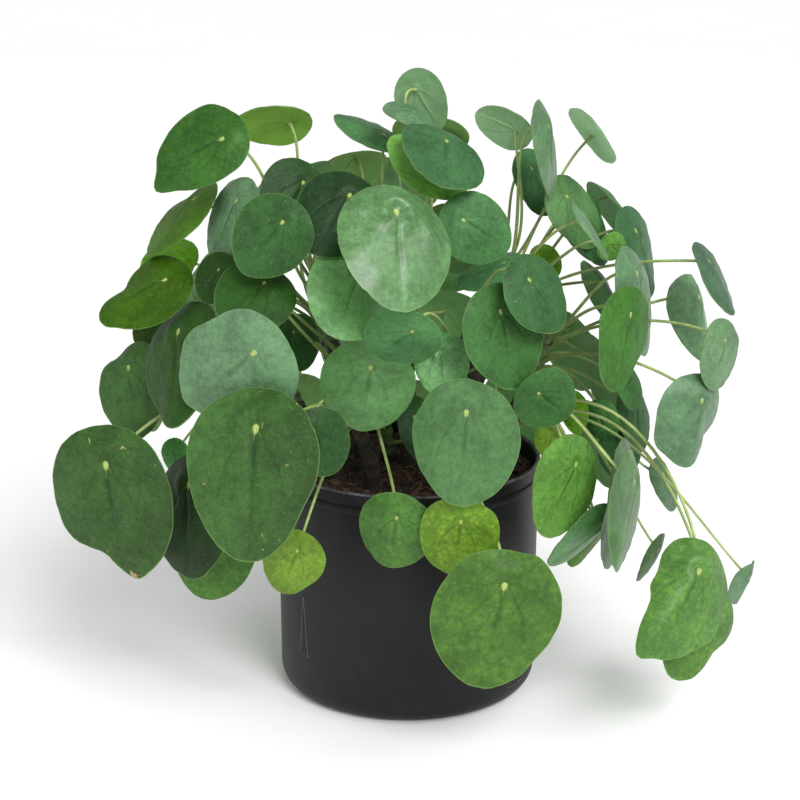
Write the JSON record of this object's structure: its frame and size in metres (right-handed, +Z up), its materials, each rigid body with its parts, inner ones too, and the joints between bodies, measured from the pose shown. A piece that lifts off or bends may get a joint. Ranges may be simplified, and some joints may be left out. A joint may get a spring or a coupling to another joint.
{
  "type": "potted chinese money plant",
  "caption": "Bushy houseplant with round, flat leaves on long arching stalks, in a round black plastic pot.",
  "frame": {"origin": "middle of the pot's underside, where it rests", "axes": "+Z up through the pot; -Y towards the viewer of the picture; +X to the viewer's right"},
  "size_m": [0.4439, 0.3565, 0.3987],
  "materials": {
    "pot": "matte",
    "soil": "matte",
    "woody_stem": "matte",
    "leaf": "satin"
  },
  "bodies": {
    "root": {"pot": "pot", "soil": "soil", "stem_upper_left": "woody_stem", "shoot_upper_left": "leaf", "stem_upper_middle": "woody_stem", "shoot_upper_middle": "leaf", "stem_upper_right": "woody_stem", "shoot_upper_right": "leaf", "stem_left": "woody_stem", "shoot_left": "leaf", "stem_front_left": "woody_stem", "shoot_front_left": "leaf", "stem_front_right": "woody_stem", "shoot_front_right": "leaf", "stem_right": "woody_stem", "shoot_right": "leaf", "stem_lower_right": "woody_stem", "shoot_lower_right": "leaf", "stem_back_left": "woody_stem", "shoot_back_left": "leaf", "stem_back_middle": "woody_stem", "shoot_back_middle": "leaf", "stem_back_right": "woody_stem", "shoot_back_right": "leaf", "stem_low_front": "woody_stem", "shoot_low_front": "leaf"}
  },
  "joints": []
}
